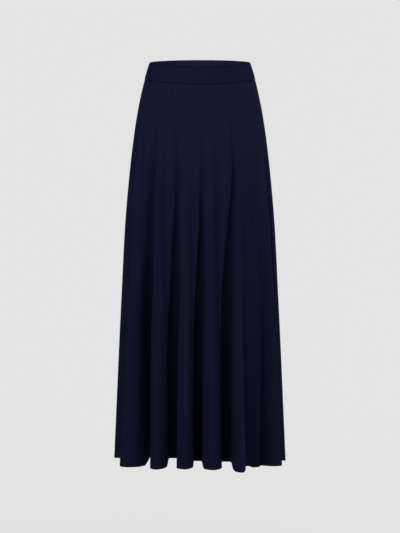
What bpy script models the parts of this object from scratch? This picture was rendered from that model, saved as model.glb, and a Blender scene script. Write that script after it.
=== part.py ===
"""A ten-gore maxi skirt of fine knit, filled out as when it is worn, with nothing inside it.

Run with: blender --background --python part.py

Metres, +Z up. The origin is the middle of the waist opening, half way up the waistband.
The front faces -Y, so +X is the wearer's left.

The skirt is built from level rings. Each ring starts as a plain rounded outline, the hull,
and the flare of the gores then folds into valleys between round lobes that grow to the hem.
Every seam lies at the bottom of a valley, and the side gores have more valleys of their own.
"""

from collections import namedtuple

import bpy
import numpy as np
from mathutils import Vector

# ---------------------------------------------------------------- driving sizes
BAND_TOP = 0.0195  # mean height of the waistband's top edge
BAND_FOOT = -0.0200  # mean height of the seam under the waistband
HEM = -0.9100  # mean height of the hem
CLOTH = 0.0015  # knit of the gores
BAND_CLOTH = 0.0026  # the waistband is knit folded double
BAND_PROUD = 0.0006  # the band stands this much outside the gores
TIPPED_GAP = 0.0006  # under the band, where the edges tip with the flare

# The waist dips at the front: how far it runs from its mean height there and round the rest.
DIP_FRONT, DIP_REST = -0.0015, 0.0020
HEM_SLOPE = -0.020  # the hem falls this much per metre towards +X
VALLEY_RISE = 0.0110  # the hem is this much higher in a deep valley
DEEP = 0.080  # a valley this deep has the whole rise

# The hull. Squareness 2 is an ellipse, and more is nearer to a rounded box.
Section = namedtuple("Section", "height half_width half_depth squareness")
HULL = (
    Section(0.0195, 0.1160, 0.0880, 2.00),
    Section(-0.0200, 0.1280, 0.0970, 2.05),
    Section(-0.0600, 0.1377, 0.1030, 2.10),
    Section(-0.1100, 0.1472, 0.1085, 2.18),
    Section(-0.1800, 0.1570, 0.1150, 2.30),
    Section(-0.3200, 0.1712, 0.1240, 2.45),
    Section(-0.5300, 0.1830, 0.1310, 2.60),
    Section(-0.9100, 0.2007, 0.1400, 2.70),
)

# The valleys, anticlockwise from above, starting at the wearer's right side.
# gap parts the two gores whose seam lies in the valley, and is 0 where there is no seam;
# it is wider where the cloth turns more. waist, hip, knee and hem say how far across the
# hull a valley lies at those heights, as a share of the half width. start is where its fold
# begins, depth and mouth are its sizes at the hem, and lean is how far its bottom lies to
# the wearer's left. proud and hang say how far the lobe after it stands out and hangs
# below its neighbours at the hem.
STATIONS = (BAND_FOOT, -0.180, -0.420, HEM)
FRONT, BACK = -1, 1
Valley = namedtuple(
    "Valley", "name face gap waist hip knee hem start depth mouth lean proud hang"
)
VALLEYS = tuple(
    Valley(*row)
    for row in (
        ("side_right", FRONT, 0.0005, -0.90, -0.950, -0.965, -0.975, -0.10, 0.054, 0.044, 0.000, 0.000, 0.002),
        ("right_outer", FRONT, 0.0, -0.70, -0.680, -0.660, -0.632, -0.09, 0.080, 0.021, -0.012, 0.002, 0.004),
        ("front_right", FRONT, 0.0003, -0.44, -0.385, -0.310, -0.340, -0.10, 0.082, 0.021, 0.000, 0.002, 0.001),
        ("front_middle", FRONT, 0.0003, -0.02, 0.020, 0.010, -0.015, -0.11, 0.084, 0.021, 0.003, 0.004, 0.001),
        ("front_left", FRONT, 0.0003, 0.44, 0.485, 0.375, 0.333, -0.09, 0.080, 0.022, 0.010, 0.008, 0.006),
        ("left_outer", FRONT, 0.0, 0.62, 0.580, 0.575, 0.585, -0.14, 0.036, 0.012, 0.000, -0.010, 0.001),
        ("left_crease", FRONT, 0.0, 0.80, 0.790, 0.780, 0.755, -0.42, 0.010, 0.016, 0.000, 0.000, 0.000),
        ("side_left", FRONT, 0.0005, 0.90, 0.950, 0.965, 0.977, -0.10, 0.055, 0.037, 0.000, 0.000, -0.003),
        ("left_hollow", BACK, 0.0, 0.999, 0.998, 0.997, 0.998, -0.32, 0.034, 0.022, 0.000, 0.000, 0.002),
        ("back_left_outer", BACK, 0.0, 0.97, 0.955, 0.950, 0.945, -0.14, 0.060, 0.030, 0.000, 0.000, 0.000),
        ("back_left_side", BACK, 0.0004, 0.80, 0.740, 0.690, 0.660, -0.10, 0.074, 0.023, 0.003, 0.000, 0.003),
        ("back_left", BACK, 0.0003, 0.42, 0.400, 0.350, 0.330, -0.12, 0.080, 0.021, 0.000, 0.003, 0.000),
        ("back_middle", BACK, 0.0003, 0.01, -0.010, 0.000, 0.020, -0.10, 0.084, 0.024, -0.004, 0.003, 0.003),
        ("back_right", BACK, 0.0003, -0.42, -0.410, -0.360, -0.345, -0.11, 0.078, 0.021, 0.003, 0.000, 0.001),
        ("back_right_side", BACK, 0.0004, -0.80, -0.750, -0.700, -0.670, -0.12, 0.076, 0.022, 0.000, 0.000, 0.003),
        ("back_right_outer", BACK, 0.0, -0.97, -0.955, -0.950, -0.945, -0.13, 0.062, 0.030, 0.000, 0.000, 0.000),
        ("right_hollow", BACK, 0.0, -0.999, -0.997, -0.998, -0.999, -0.28, 0.036, 0.022, 0.000, 0.000, -0.005),
    )
)

# Each gore, and the seams that it lies between.
Gore = namedtuple("Gore", "name first last")
GORES = (
    Gore("gore_front_side_right", "side_right", "front_right"),
    Gore("gore_front_centre_right", "front_right", "front_middle"),
    Gore("gore_front_centre_left", "front_middle", "front_left"),
    Gore("gore_front_side_left", "front_left", "side_left"),
    Gore("gore_back_side_left", "side_left", "back_left_side"),
    Gore("gore_back_middle_left", "back_left_side", "back_left"),
    Gore("gore_back_centre_left", "back_left", "back_middle"),
    Gore("gore_back_centre_right", "back_middle", "back_right"),
    Gore("gore_back_middle_right", "back_right", "back_right_side"),
    Gore("gore_back_side_right", "back_right_side", "side_right"),
)

# The fold's form, the same for every valley.
NEW_MOUTH = 2.0  # a fold's mouth where it begins, as a share of its mouth at the hem
CLOSED_BY = 0.45  # the share of the fold's length by which its mouth has narrowed
SOFT_START = 0.08  # a fold deepens slowly over about this share of its length
SOFT_WALL, STEEP_WALL = 0.85, 0.30  # half a wall's width in half mouths, at the top and the hem
CROWN = 0.011  # how far a lobe's edges at the hem lie behind its middle
ROOMIEST = 0.36  # a wall's head stays within this share of the way to the next valley

HULL_STEPS = 1440
GORE_ROWS = 13
WALL_STEPS = 2
LOBE_STEPS = 3
BAND_COLUMNS = 24
BAND_ROWS = 2
BAND_END = 0.002  # the band's first and last columns are this narrow

NAVY = (0.010, 0.011, 0.034, 1.0)
GORE_ROUGHNESS, BAND_ROUGHNESS = 0.85, 0.80


# ---------------------------------------------------------------- curves and heights
def through(heights, values, height):
    """The value at one height of a smooth curve through the given ones, highest first."""
    x, y = -np.asarray(heights, float), np.asarray(values, float)
    steps, rises = np.diff(x), np.diff(y)
    slopes = np.gradient(y, x)
    i = int(np.clip(np.searchsorted(x, -height) - 1, 0, len(steps) - 1))
    t = np.clip((-height - x[i]) / steps[i], 0.0, 1.0)
    turn = slopes[i] * steps[i] * (1 - t) - slopes[i + 1] * steps[i] * t
    bend = rises[i] * (2 * t - 1)
    return y[i] + t * rises[i] + t * (1 - t) * (turn + bend)


def eased(share):
    """A smooth rise from 0 at share 0 to 1 at share 1."""
    share = np.clip(share, 0.0, 1.0)
    return share * share * (3 - 2 * share)


def lift(bearing):
    """How far the waist lies above its mean height, at bearings measured from the front."""
    return DIP_REST + (DIP_FRONT - DIP_REST) * np.clip(np.cos(bearing), 0, 1) ** 2


# ---------------------------------------------------------------- the hull
class Hull:
    """The plain outline at one height, anticlockwise from the back, measured along itself."""

    def __init__(self, height):
        heights = [section.height for section in HULL]
        self.half_width, self.half_depth, self.squareness = (
            through(heights, [getattr(section, size) for section in HULL], height)
            for size in ("half_width", "half_depth", "squareness")
        )
        self.bearings = np.linspace(-np.pi, np.pi, HULL_STEPS + 1)
        power = self.squareness
        reach = (
            np.abs(np.sin(self.bearings) / self.half_width) ** power
            + np.abs(np.cos(self.bearings) / self.half_depth) ** power
        ) ** (-1 / power)
        self.points = np.column_stack([np.sin(self.bearings), -np.cos(self.bearings)]) * reach[:, None]
        runs = np.linalg.norm(np.diff(self.points, axis=0), axis=1)
        self.distances = np.concatenate([[0.0], np.cumsum(runs)])
        self.length = self.distances[-1]

    def distance_at(self, face, across):
        """How far along the hull the point lies that is that share of the half width across."""
        depth = self.half_depth * (1 - abs(across) ** self.squareness) ** (1 / self.squareness)
        bearing = np.arctan2(across * self.half_width, -face * depth)
        return float(np.interp(bearing, self.bearings, self.distances))

    def at(self, distance):
        """Points and bearings at distances along the hull, which may run past its ends."""
        distance = np.mod(distance, self.length)
        x, y, bearing = (
            np.interp(distance, self.distances, column)
            for column in (self.points[:, 0], self.points[:, 1], self.bearings)
        )
        return np.column_stack([x, y]), bearing

    def inward(self, distance):
        """Unit vectors pointing into the skirt, square to the hull."""
        step = self.length / HULL_STEPS
        along = self.at(distance + step)[0] - self.at(distance - step)[0]
        normal = np.column_stack([-along[:, 1], along[:, 0]])
        return normal / np.linalg.norm(normal, axis=1)[:, None]


# ---------------------------------------------------------------- the folds
class Fold:
    """One valley at one height."""

    def __init__(self, valley, hull, height):
        across = through(STATIONS, (valley.waist, valley.hip, valley.knee, valley.hem), height)
        share = np.clip((valley.start - height) / (valley.start - HEM), 0.0, 1.0)
        growth = share * share / (share + SOFT_START) * (1 + SOFT_START)
        closed = eased(share / CLOSED_BY)
        self.seam = valley.gap
        self.place = hull.distance_at(valley.face, across)
        self.depth = valley.depth * growth
        self.half_mouth = valley.mouth / 2 * (NEW_MOUTH + (1 - NEW_MOUTH) * closed)
        self.half_wall = SOFT_WALL + (STEEP_WALL - SOFT_WALL) * closed
        self.lean = valley.lean * growth
        self.proud = valley.proud * growth
        self.hang = valley.hang * growth
        self.crown = min(CROWN * growth, self.depth * 0.5)

    def keep_within(self, room):
        """Narrow the mouth until the heads of the walls stay within the room."""
        self.half_mouth = min(self.half_mouth, room / (1 + self.half_wall))

    def wall(self):
        """How far a wall's foot, middle and head lie from the bottom of the valley."""
        return self.half_mouth * (1 + self.half_wall * np.linspace(-1.0, 1.0, WALL_STEPS + 1))

    def shares(self, away):
        """How far down the valley the cloth lies at these distances from its bottom, 1 to 0."""
        wall = self.wall()
        return 1 - eased((away - wall[0]) / (wall[-1] - wall[0]))


def folds_at(hull, height):
    """Every fold at one height, with room left between neighbours."""
    folds = [Fold(valley, hull, height) for valley in VALLEYS]
    for fold, after in zip(folds, folds[1:] + folds[:1], strict=True):
        gap = (after.place - fold.place) % hull.length
        fold.keep_within(ROOMIEST * gap)
        after.keep_within(ROOMIEST * gap)
    return folds


def span(hull, fold, after):
    """The cloth from the bottom of one valley to the next: points, bearings and hem drops."""
    gap = (after.place - fold.place) % hull.length
    rise, fall = fold.wall(), gap - after.wall()[::-1]
    lobe = np.linspace(rise[-1], fall[0], LOBE_STEPS + 1)[1:-1]
    along = np.concatenate([[fold.seam / 2], rise, lobe, fall, [gap - after.seam / 2]])

    across = np.clip((along - rise[-1]) / (fall[0] - rise[-1]), 0.0, 1.0)
    setback = np.where(
        across < 0.5,
        fold.crown * (1 - 2 * across) ** 2,
        after.crown * (2 * across - 1) ** 2,
    )
    setback -= fold.proud * 4 * across * (1 - across)
    points, bearings = hull.at(fold.place + along)
    points = points + hull.inward(fold.place + along) * setback[:, None]

    drops = np.full(len(along), fold.hang)
    for valley, away in ((fold, along), (after, gap - along)):
        sunk = valley.shares(away)
        inward = hull.inward(np.array([valley.place]))[0]
        points += sunk[:, None] * (inward * (valley.depth - valley.crown))
        points[:, 0] += sunk * valley.lean
        drops -= sunk * (fold.hang + VALLEY_RISE * min(valley.depth / DEEP, 1.0))
    return points, bearings, drops


def gore_row(first, last, height, share):
    """One row of a gore, at a nominal height and its share of the way down."""
    hull = Hull(height)
    folds = folds_at(hull, height)
    count = len(folds)
    row = []
    index = first
    while index != last:
        points, bearings, drops = span(hull, folds[index], folds[(index + 1) % count])
        inner_edge = (index + 1) % count != last
        keep = slice(0, -1 if inner_edge else None)
        top = lift(bearings) - TIPPED_GAP
        foot = HEM_SLOPE * points[:, 0] - drops
        level = height + top * (1 - share) + foot * share
        row.append(np.column_stack([points, level])[keep])
        index = (index + 1) % count
    return np.concatenate(row)


# ---------------------------------------------------------------- Blender objects
def knit_material(name, roughness):
    """A plain navy knit."""
    material = bpy.data.materials.new(name)
    material.use_nodes = True
    shader = material.node_tree.nodes["Principled BSDF"]
    shader.inputs["Base Color"].default_value = NAVY
    shader.inputs["Roughness"].default_value = roughness
    shader.inputs["Metallic"].default_value = 0.0
    return material


def cloth(name, rows, thickness, roughness, collection):
    """A wall of cloth: an open surface lofted through the rows, thickened inwards."""
    width = len(rows[0])
    vertices = [Vector(point) for row in rows for point in row]
    faces = [
        (r * width + c, (r + 1) * width + c, (r + 1) * width + c + 1, r * width + c + 1)
        for r in range(len(rows) - 1)
        for c in range(width - 1)
    ]
    mesh = bpy.data.meshes.new(name)
    mesh.from_pydata(vertices, [], faces)
    mesh.validate()
    mesh.shade_smooth()
    mesh.materials.append(knit_material(f"{name}_knit", roughness))
    piece = bpy.data.objects.new(name, mesh)
    collection.objects.link(piece)
    wall = piece.modifiers.new("wall", "SOLIDIFY")
    wall.thickness = thickness
    wall.offset = -1.0
    wall.use_rim = True
    return piece


def build_gore(gore, collection):
    """One gore, from the seam under the band to the hem."""
    names = [valley.name for valley in VALLEYS]
    first, last = names.index(gore.first), names.index(gore.last)
    shares = np.linspace(0.0, 1.0, GORE_ROWS + 1)
    rows = [gore_row(first, last, BAND_FOOT + (HEM - BAND_FOOT) * share, share) for share in shares]
    return cloth(gore.name, rows, CLOTH, GORE_ROUGHNESS, collection)


def build_band(name, first, last, collection):
    """Half of the waistband, between the side seams."""
    valleys = {valley.name: valley for valley in VALLEYS}
    rows = []
    for share in np.linspace(0.0, 1.0, BAND_ROWS + 1):
        height = BAND_TOP + (BAND_FOOT - BAND_TOP) * share
        hull = Hull(height)
        start, end = (hull.distance_at(valleys[seam].face, valleys[seam].waist) for seam in (first, last))
        run = (end - start) % hull.length
        inner = np.linspace(BAND_END, run - BAND_END, BAND_COLUMNS - 1)
        edges = valleys[first].gap / 2, run - valleys[last].gap / 2
        along = start + np.concatenate([edges[:1], inner, edges[1:]])
        points, bearings = hull.at(along)
        points = points - hull.inward(along) * BAND_PROUD
        rows.append(np.column_stack([points, height + lift(bearings)]))
    return cloth(name, rows, BAND_CLOTH, BAND_ROUGHNESS, collection)


def main():
    for old in list(bpy.data.objects):
        bpy.data.objects.remove(old)
    collection = bpy.data.collections.new("maxi_skirt")
    bpy.context.scene.collection.children.link(collection)
    waist = bpy.data.objects.new("waist", None)
    collection.objects.link(waist)
    pieces = [
        build_band("waistband_front", "side_right", "side_left", collection),
        build_band("waistband_back", "side_left", "side_right", collection),
    ]
    pieces += [build_gore(gore, collection) for gore in GORES]
    for piece in pieces:
        piece.parent = waist


main()
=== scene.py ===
"""A navy maxi skirt of fine knit, filled out as when it is worn, in a plain pale studio.

The skirt is sewn from ten gores and a waistband in two halves. Every gore is a thin shell:
its outer and inner faces are lofted through level rows. A row starts on a plain rounded
outline, the hull, and the flare of the gores then folds into valleys between round lobes
that grow towards the hem. Metres, +Z up; the front faces -Y and +X is the wearer's left.
"""

from __future__ import annotations

import logging
import math
from dataclasses import dataclass
from enum import Enum
from typing import Any, Iterable, Sequence, Union

import bpy
import numpy as np
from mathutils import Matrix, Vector


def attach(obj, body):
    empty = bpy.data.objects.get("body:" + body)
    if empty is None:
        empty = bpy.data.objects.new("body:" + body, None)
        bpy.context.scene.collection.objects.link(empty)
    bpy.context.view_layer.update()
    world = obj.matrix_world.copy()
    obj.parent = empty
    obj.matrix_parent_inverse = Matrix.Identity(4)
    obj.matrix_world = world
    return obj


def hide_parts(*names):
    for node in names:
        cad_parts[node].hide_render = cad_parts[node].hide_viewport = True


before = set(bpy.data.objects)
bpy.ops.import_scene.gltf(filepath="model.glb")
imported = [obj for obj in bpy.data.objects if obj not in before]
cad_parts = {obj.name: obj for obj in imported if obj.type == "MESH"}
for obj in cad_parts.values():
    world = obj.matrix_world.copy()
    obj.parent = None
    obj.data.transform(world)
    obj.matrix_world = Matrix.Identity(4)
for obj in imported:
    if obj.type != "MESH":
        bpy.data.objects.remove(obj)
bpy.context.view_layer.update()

LOG = logging.getLogger("maxi_skirt")
Array = np.ndarray
Triple = tuple[float, float, float]


# ------------------------------------------------------------------ node trees
class Number:
    """A number that a node tree works out, with the arithmetic of Python."""

    def __init__(self, tree: "Tree", socket: bpy.types.NodeSocket) -> None:
        """Wrap an output socket of a tree's node."""
        self.tree = tree
        self.socket = socket

    def maths(self, operation: str, *values: "Operand") -> "Number":
        """Run a Math operation on this number and others.

        Args:
            operation: the Math node's operation.
            values: what goes in its sockets, this number included, in order.

        Returns:
            The result.
        """
        node = self.tree.node("ShaderNodeMath", {"operation": operation}, dict(enumerate(values)))
        return Number(self.tree, node.outputs[0])

    def __add__(self, other: "Operand") -> "Number":
        """Add."""
        return self.maths("ADD", self, other)

    __radd__ = __add__

    def __sub__(self, other: "Operand") -> "Number":
        """Subtract."""
        return self.maths("SUBTRACT", self, other)

    def __rsub__(self, other: "Operand") -> "Number":
        """Subtract this number from another."""
        return self.maths("SUBTRACT", other, self)

    def __mul__(self, other: "Operand") -> "Number":
        """Multiply."""
        return self.maths("MULTIPLY", self, other)

    __rmul__ = __mul__

    def __truediv__(self, other: "Operand") -> "Number":
        """Divide."""
        return self.maths("DIVIDE", self, other)

    def __abs__(self) -> "Number":
        """Drop the sign."""
        return self.maths("ABSOLUTE", self)

    def fraction(self) -> "Number":
        """Keep what is left over from whole numbers."""
        return self.maths("FRACT", self)

    def sine(self) -> "Number":
        """Take the sine of the number in radians."""
        return self.maths("SINE", self)


Operand = Union[Number, float, int]


class Tree:
    """A material's, world's or modifier's nodes, all made in one way."""

    def __init__(self, tree: bpy.types.NodeTree) -> None:
        """Empty the tree and hold it."""
        self.tree = tree
        self.tree.nodes.clear()

    def node(
        self, kind: str, settings: dict[str, Any] | None = None, inputs: dict[Any, Any] | None = None
    ) -> bpy.types.Node:
        """Make a node.

        Args:
            kind: the node's type.
            settings: its properties, set first; a list under "stops" sets a ramp's stops.
            inputs: values or links for its sockets, by name or number.

        Returns:
            The new node.
        """
        node = self.tree.nodes.new(kind)
        for name, value in (settings or {}).items():
            if name == "stops":
                self._set_stops(node.color_ramp, value)
            else:
                setattr(node, name, value)
        for name, value in (inputs or {}).items():
            socket = node.inputs[name]
            if isinstance(value, Number):
                value = value.socket
            if isinstance(value, bpy.types.NodeSocket):
                self.tree.links.new(value, socket)
            else:
                socket.default_value = value
        return node

    @staticmethod
    def _set_stops(ramp: bpy.types.ColorRamp, stops: Sequence[tuple[float, tuple]]) -> None:
        """Give a colour ramp its stops, as pairs of place and colour."""
        while len(ramp.elements) < len(stops):
            ramp.elements.new(0.5)
        for element, (place, colour) in zip(ramp.elements, stops, strict=True):
            element.position = place
            element.color = colour

    def number(self, node: bpy.types.Node, output: str | int = 0) -> Number:
        """Take one output of a node as a number."""
        return Number(self, node.outputs[output])

    def noise(self, vector: bpy.types.NodeSocket, scale: float, detail: float) -> Number:
        """Make smooth noise.

        Args:
            vector: the coordinates it is laid over.
            scale: its scale.
            detail: how many finer layers it has.

        Returns:
            The noise, about 0.5 on average.
        """
        node = self.node("ShaderNodeTexNoise", {}, {"Vector": vector, "Scale": scale, "Detail": detail})
        return self.number(node, "Fac")

    def streaks(self, vector: bpy.types.NodeSocket, grain: Triple, detail: float) -> Number:
        """Make noise that is drawn out along one way.

        Args:
            vector: the coordinates it is laid over.
            grain: its scale along each axis.
            detail: how many finer layers it has.

        Returns:
            The noise, about 0.5 on average.
        """
        drawn = self.node("ShaderNodeVectorMath", {"operation": "MULTIPLY"}, {0: vector, 1: grain})
        return self.noise(drawn.outputs[0], 1.0, detail)

    def mix_colours(self, factor: Operand, first: Any, second: Any) -> bpy.types.NodeSocket:
        """Mix two colours.

        Args:
            factor: 0 for the first and 1 for the second.
            first: a colour or a socket.
            second: a colour or a socket.

        Returns:
            The mixed colour's socket.
        """
        node = self.node("ShaderNodeMix", {"data_type": "RGBA"}, {0: factor, 6: first, 7: second})
        return node.outputs[2]

    def surface(self, inputs: dict[str, Any]) -> None:
        """End a material's tree in a Principled shader that has these inputs."""
        shader = self.node("ShaderNodeBsdfPrincipled", {}, inputs)
        self.node("ShaderNodeOutputMaterial", {}, {"Surface": shader.outputs[0]})


def blank_material(name: str) -> tuple[bpy.types.Material, Tree]:
    """Make a material, and the empty tree of its nodes."""
    material = bpy.data.materials.new(name)
    material.use_nodes = True
    return material, Tree(material.node_tree)


# ------------------------------------------------------------------ finishes
class Slot(Enum):
    """The material slots."""

    SKIRT = "skirt_knit"
    BAND = "band_knit"


@dataclass(frozen=True)
class KnitFinish:
    """Fine jersey: rows of small Vs in a yarn with a soft, faintly bluish nap.

    colour and worn are the darkest and palest of its right side, which is painted darker towards a
    dark shade colour deep in a fold, as painted shade; its inner face is painted a paler colour, as
    painted light. wale and course are how wide and how tall one V is, and relief is how far the
    yarn stands up. The grains are scales of noise. relief_weights say how much the rib, its Vs,
    the fuzz and the slubs count in the relief, and shade_weights how much the rows, the patches
    and the rib count in the colour.
    """

    name: str
    slot: Slot
    colour: Triple = (0.0048, 0.0053, 0.0165)
    worn: Triple = (0.0068, 0.0075, 0.0225)
    # painted shade: the dark colour that folds are painted towards
    painted_shade: Triple = (0.0020, 0.0022, 0.0074)
    # painted light: the paler colour of the inner face
    inside_painted_light: Triple = (0.0120, 0.0124, 0.0340)
    roughness: float = 0.92
    shine: float = 0.006
    nap: float = 0.010
    nap_tint: tuple[float, float, float, float] = (0.42, 0.48, 1.0, 1.0)
    nap_roughness: float = 0.42
    wale: float = 0.00095
    course: float = 0.00075
    relief: float = 0.00016
    bump: float = 0.55
    fuzz_grain: float = 1900.0
    slub_grain: Triple = (9.0, 130.0, 1.0)
    row_grain: Triple = (16.0, 210.0, 1.0)
    patch_grain: float = 14.0
    relief_weights: tuple[float, float, float, float] = (0.55, 0.30, 0.35, 1.6)
    shade_weights: Triple = (0.45, 0.35, 0.20)

    def material(self) -> bpy.types.Material:
        """Build the material, which follows the piece's own UV map in metres.

        Returns:
            The material.
        """
        material, tree = blank_material(self.name)
        lie = tree.node("ShaderNodeUVMap", {"uv_map": "knit"}).outputs[0]
        parts = tree.node("ShaderNodeSeparateXYZ", {}, {0: lie})
        across, down = tree.number(parts, "X"), tree.number(parts, "Y")

        leg = abs((across / self.wale).fraction() - 0.5) * 2.0
        rib = 1.0 - leg * leg
        vees = ((down / self.course + leg * 0.5) * math.tau).sine()
        fuzz = tree.noise(lie, self.fuzz_grain, 3.0)
        slubs = tree.streaks(lie, self.slub_grain, 3.0)
        of_rib, of_vees, of_fuzz, of_slubs = self.relief_weights
        height = rib * of_rib + rib * vees * of_vees + fuzz * of_fuzz + slubs * of_slubs
        bump = tree.node(
            "ShaderNodeBump", {}, {"Strength": self.bump, "Distance": self.relief, "Height": height}
        )

        rows = tree.streaks(lie, self.row_grain, 2.0)
        patches = tree.noise(lie, self.patch_grain, 2.0)
        of_rows, of_patches, of_rib = self.shade_weights
        shade = rows * of_rows + patches * of_patches + rib * of_rib
        # Painted shade: a per-point share mixes the right side towards a dark shade colour in folds, on
        # set-back lobes and along the band's top fold.
        fold = tree.node("ShaderNodeAttribute", {"attribute_name": "painted_shade_mask"})
        side = tree.node("ShaderNodeAttribute", {"attribute_name": "inside_painted_light"})
        right = tree.mix_colours(shade, (*self.colour, 1.0), (*self.worn, 1.0))
        right = tree.mix_colours(tree.number(fold, "Fac"), right, (*self.painted_shade, 1.0))
        # Painted light: the inner face takes a paler colour in place of the light that reaches inside.
        colour = tree.mix_colours(tree.number(side, "Fac"), right, (*self.inside_painted_light, 1.0))
        tree.surface(
            {
                "Base Color": colour,
                "Roughness": self.roughness,
                "Specular IOR Level": self.shine,
                "Sheen Weight": self.nap,
                "Sheen Roughness": self.nap_roughness,
                "Sheen Tint": self.nap_tint,
                "Normal": bump.outputs[0],
            }
        )
        return material


@dataclass(frozen=True)
class ThreadFinish:
    """Spun polyester sewing thread: a two-ply twist, a little glossier than the knit.

    ply is the scale of the twist's noise, paler is how many times paler its high parts are, and
    relief is how far they stand up.
    """

    name: str
    slot: Slot
    colour: Triple = (0.0044, 0.0049, 0.0190)
    paler: float = 1.5
    roughness: float = 0.55
    ply: float = 2600.0
    relief: float = 0.00005
    bump: float = 0.4

    def material(self) -> bpy.types.Material:
        """Build the material, whose twist reads Object coordinates.

        Returns:
            The material.
        """
        material, tree = blank_material(self.name)
        place = tree.node("ShaderNodeTexCoord")
        twist = tree.noise(place.outputs["Object"], self.ply, 1.0)
        pale = tuple(self.paler * part for part in self.colour)
        colour = tree.mix_colours(twist, (*self.colour, 1.0), (*pale, 1.0))
        bump = tree.node(
            "ShaderNodeBump", {}, {"Strength": self.bump, "Distance": self.relief, "Height": twist}
        )
        tree.surface({"Base Color": colour, "Roughness": self.roughness, "Normal": bump.outputs[0]})
        return material


# ------------------------------------------------------------------ the form
def eased(share: Array | float) -> Array | float:
    """Rise smoothly from 0 at share 0 to 1 at share 1."""
    share = np.clip(share, 0.0, 1.0)
    return share * share * (3 - 2 * share)


def through(heights: Sequence[float], values: Sequence[float], height: float) -> float:
    """Read a smooth curve through values at given heights, highest first.

    Args:
        heights: the heights of the known values.
        values: the known values.
        height: where to read.

    Returns:
        The curve's value there.
    """
    x, y = -np.asarray(heights, float), np.asarray(values, float)
    steps, rises = np.diff(x), np.diff(y)
    slopes = np.gradient(y, x)
    i = int(np.clip(np.searchsorted(x, -height) - 1, 0, len(steps) - 1))
    t = np.clip((-height - x[i]) / steps[i], 0.0, 1.0)
    turn = slopes[i] * steps[i] * (1 - t) - slopes[i + 1] * steps[i] * t
    bend = rises[i] * (2 * t - 1)
    return y[i] + t * rises[i] + t * (1 - t) * (turn + bend)


class Face(Enum):
    """Which half of the skirt a valley is on."""

    FRONT = -1
    BACK = 1


@dataclass(frozen=True)
class Section:
    """The hull at one height. Squareness 2 is an ellipse, and more is nearer to a rounded box."""

    height: float
    half_width: float
    half_depth: float
    squareness: float


@dataclass(frozen=True)
class Valley:
    """A valley between two lobes, and the lobe that follows it anticlockwise from above.

    across says how far across the hull it lies at each station, as a share of the half width.
    gap parts the two gores whose seam it holds, and is 0 where there is no seam. start is the
    height where the fold begins; depth and mouth are its sizes at the hem, and lean is how far
    its bottom lies to the wearer's left. proud and hang say how far the lobe after it stands
    out and hangs below the plain hem. before and after say how far the two lobes fall back
    towards it. edge is how many times wider than the wall the rise of the hem is, and lifts
    scales that rise. slack is how much of the mouth the walls slope over, from 0 for upright
    walls to 1.
    """

    name: str
    face: Face
    gap: float
    across: tuple[float, ...]
    start: float
    depth: float
    mouth: float
    lean: float = 0.0
    proud: float = 0.0
    hang: float = 0.0
    before: float = 0.026
    after: float = 0.013
    edge: float = 0.8
    lifts: float = 1.0
    slack: float = 0.28


@dataclass(frozen=True)
class Crease:
    """A soft trough in the face of a lobe, from its top to its bottom.

    top and bottom are heights, across_top and across_bottom are shares of the half width, and
    depth and width are its sizes half way down.
    """

    name: str
    face: Face
    top: float
    bottom: float
    across_top: float
    across_bottom: float
    depth: float
    width: float


FRONT, BACK = Face.FRONT, Face.BACK


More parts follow.
